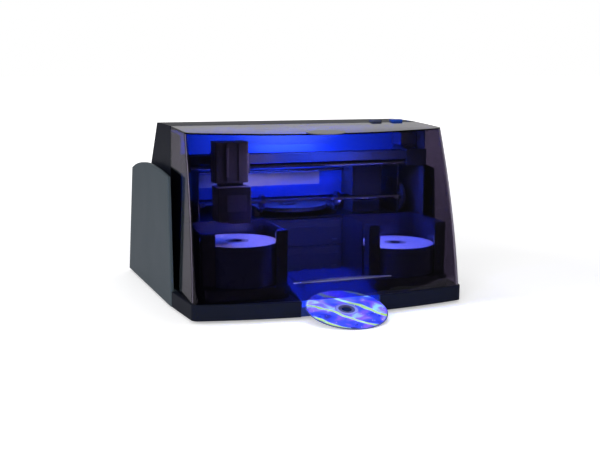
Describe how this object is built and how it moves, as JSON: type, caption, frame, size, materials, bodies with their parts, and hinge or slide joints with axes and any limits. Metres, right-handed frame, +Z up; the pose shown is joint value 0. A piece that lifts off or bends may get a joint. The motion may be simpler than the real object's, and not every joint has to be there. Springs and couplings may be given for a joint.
{
  "type": "disc label printer",
  "caption": "Desktop disc publisher with a smoked tilting lid, disc bins, a travelling picker, optical drives, an inkjet label printer and a front output chute.",
  "frame": {"origin": "on the resting surface, under the middle of the whole outline with the printed disc in the chute", "axes": "+X to the right seen from the front, +Y to the rear, +Z up"},
  "size_m": [0.444, 0.5053, 0.2728],
  "materials": {
    "badge_metal": "satin, bare",
    "belt_rubber": "toothed belt",
    "bezel_plastic": "fine texture",
    "bin_plastic": "dark translucent look",
    "black_plastic": "fine matt texture",
    "blue_panel": "semi gloss, lit blue",
    "board_green": "board with parts",
    "cartridge_plastic": "satin",
    "dark_sheet": "powder coat",
    "disc_blank": "white printable face",
    "disc_print": null,
    "grey_button": "satin",
    "head_plastic": "satin",
    "light_alloy": "satin",
    "lit_button": "translucent, lit blue",
    "navy_plastic": "satin, near black",
    "pod_grey": "satin blue grey",
    "rubber": "matt",
    "smoked_acrylic": "smoked clear, polished",
    "steel": "bright drawn",
    "tray_plastic": "fine texture",
    "zinc_sheet": "zinc plated sheet"
  },
  "bodies": {
    "case": {"base_plinth": "navy_plastic", "bottom_plate": "zinc_sheet", "rubber_feet": "rubber", "case_screws": "steel", "output_chute": "blue_panel", "rear_cover": "navy_plastic", "rear_panel": "zinc_sheet", "rear_ports": "black_plastic", "fan_frame": "black_plastic", "left_side_pod": "pod_grey", "right_side_pod": "pod_grey", "inner_side_panels": "dark_sheet", "inner_back_panel": "blue_panel", "lid_hinge": "steel", "drive_cage": "zinc_sheet", "drive_bodies": "zinc_sheet", "drive_bezels": "bezel_plastic", "printer_chassis": "zinc_sheet", "printer_front_bar": "steel", "carriage_shield": "light_alloy", "service_station": "black_plastic", "guide_rods": "steel", "picker_beam": "dark_sheet", "rail_end_brackets": "black_plastic", "drive_belts": "belt_rubber", "drive_motors": "zinc_sheet", "left_disc_bin": "bin_plastic", "right_disc_bin": "bin_plastic", "left_disc_stack": "disc_blank", "right_disc_stack": "disc_blank", "light_bar": "board_green", "circuit_boards": "board_green", "power_supply": "zinc_sheet", "status_light": "lit_button"},
    "lid": {"lid": "smoked_acrylic", "lid_badge": "badge_metal"},
    "power_button": {"power_button": "lit_button"},
    "cartridge_button": {"cartridge_button": "grey_button"},
    "upper_tray": {"upper_drive_tray": "tray_plastic"},
    "lower_tray": {"lower_drive_tray": "tray_plastic"},
    "upper_eject": {"upper_eject_button": "grey_button"},
    "lower_eject": {"lower_eject_button": "grey_button"},
    "print_tray": {"print_tray": "tray_plastic"},
    "print_carriage": {"print_carriage": "black_plastic", "ink_cartridge": "cartridge_plastic"},
    "belt_idler": {"belt_idler": "black_plastic"},
    "belt_drive": {"belt_drive_pulley": "light_alloy"},
    "feed_roller": {"feed_roller": "steel", "feed_pulley": "black_plastic"},
    "feed_motor_pulley": {"feed_motor_pulley": "light_alloy"},
    "picker": {"picker_carriage": "black_plastic", "picker_column": "head_plastic", "lift_motor": "zinc_sheet"},
    "picker_head": {"picker_head": "head_plastic"},
    "lift_screw": {"lift_screw": "steel"},
    "gripper": {"gripper_finger": "steel"},
    "picker_idler": {"picker_idler": "black_plastic"},
    "picker_drive": {"picker_drive_pulley": "light_alloy"},
    "printed_disc": {"printed_disc": "disc_print"},
    "fan_rotor": {"fan_rotor": "black_plastic"}
  },
  "joints": [
    {"name": "lid_swing", "type": "hinge", "parent": "case", "child": "lid", "pos_m": [0, 0.0015, 0.266], "axis": [-1, 0, 0], "range_deg": [0, 75]},
    {"name": "power_button_press", "type": "slide", "parent": "case", "child": "power_button", "axis": [0, 0, -1], "range_m": [0, 0.0015], "stiffness_N_per_m": 350, "springref_m": -0.0008},
    {"name": "cartridge_button_press", "type": "slide", "parent": "case", "child": "cartridge_button", "axis": [0, 0, -1], "range_m": [0, 0.0015], "stiffness_N_per_m": 350, "springref_m": -0.0008},
    {"name": "upper_tray_slide", "type": "slide", "parent": "case", "child": "upper_tray", "axis": [0, -1, 0], "range_m": [0, 0.1385]},
    {"name": "lower_tray_slide", "type": "slide", "parent": "case", "child": "lower_tray", "axis": [0, -1, 0], "range_m": [0, 0.1385]},
    {"name": "upper_eject_press", "type": "slide", "parent": "case", "child": "upper_eject", "axis": [0, 1, 0], "range_m": [0, 0.0012], "stiffness_N_per_m": 350, "springref_m": -0.0008},
    {"name": "lower_eject_press", "type": "slide", "parent": "case", "child": "lower_eject", "axis": [0, 1, 0], "range_m": [0, 0.0012], "stiffness_N_per_m": 350, "springref_m": -0.0008},
    {"name": "print_tray_slide", "type": "slide", "parent": "case", "child": "print_tray", "axis": [0, -1, 0], "range_m": [0, 0.1385]},
    {"name": "feed_roller_spin", "type": "hinge", "parent": "case", "child": "feed_roller", "pos_m": [0, -0.0035, 0.149], "axis": [-1, 0, 0], "range_deg": [-5, 675]},
    {"name": "feed_motor_spin", "type": "hinge", "parent": "case", "child": "feed_motor_pulley", "pos_m": [0.173, 0.0885, 0.149], "axis": [-1, 0, 0], "range_deg": [-5, 2150]},
    {"name": "print_carriage_slide", "type": "slide", "parent": "case", "child": "print_carriage", "axis": [-1, 0, 0], "range_m": [0, 0.248]},
    {"name": "belt_idler_spin", "type": "hinge", "parent": "case", "child": "belt_idler", "pos_m": [-0.147, 0.0635, 0.206], "axis": [0, 1, 0], "range_deg": [-5, 2100]},
    {"name": "belt_drive_spin", "type": "hinge", "parent": "case", "child": "belt_drive", "pos_m": [0.147, 0.0635, 0.206], "axis": [0, 1, 0], "range_deg": [-5, 2100]},
    {"name": "picker_traverse", "type": "slide", "parent": "case", "child": "picker", "axis": [1, 0, 0], "range_m": [0, 0.258]},
    {"name": "picker_idler_spin", "type": "hinge", "parent": "case", "child": "picker_idler", "pos_m": [-0.18, -0.024, 0.22], "axis": [0, -1, 0], "range_deg": [-5, 2180]},
    {"name": "picker_drive_spin", "type": "hinge", "parent": "case", "child": "picker_drive", "pos_m": [0.1835, -0.024, 0.22], "axis": [0, -1, 0], "range_deg": [-5, 2180]},
    {"name": "picker_lift", "type": "slide", "parent": "picker", "child": "picker_head", "axis": [0, 0, 1], "range_m": [-0.028, 0.004]},
    {"name": "lift_screw_spin", "type": "hinge", "parent": "picker", "child": "lift_screw", "pos_m": [-0.139, -0.0825, 0.22], "axis": [0, 0, 1], "range_deg": [-845, 125]},
    {"name": "gripper_spread", "type": "slide", "parent": "picker_head", "child": "gripper", "axis": [1, 0, 0], "range_m": [-0.002, 0.0015]},
    {"name": "disc_out", "type": "slide", "parent": "case", "child": "printed_disc", "axis": [0, -0.9703, -0.2419], "range_m": [-0.06, 0]},
    {"name": "fan_spin", "type": "hinge", "parent": "case", "child": "fan_rotor", "pos_m": [0.031, 0.2015, 0.081], "axis": [0, 1, 0], "continuous": true}
  ],
  "couplings": [
    {"joint": "feed_roller_spin", "follows": "print_tray_slide", "rad_per_m": 83.333},
    {"joint": "feed_motor_spin", "follows": "print_tray_slide", "rad_per_m": 267.16},
    {"joint": "belt_idler_spin", "follows": "print_carriage_slide", "rad_per_m": 147.06},
    {"joint": "belt_drive_spin", "follows": "print_carriage_slide", "rad_per_m": 147.06},
    {"joint": "picker_idler_spin", "follows": "picker_traverse", "rad_per_m": 147.06},
    {"joint": "picker_drive_spin", "follows": "picker_traverse", "rad_per_m": 147.06},
    {"joint": "lift_screw_spin", "follows": "picker_lift", "rad_per_m": 523.6}
  ]
}
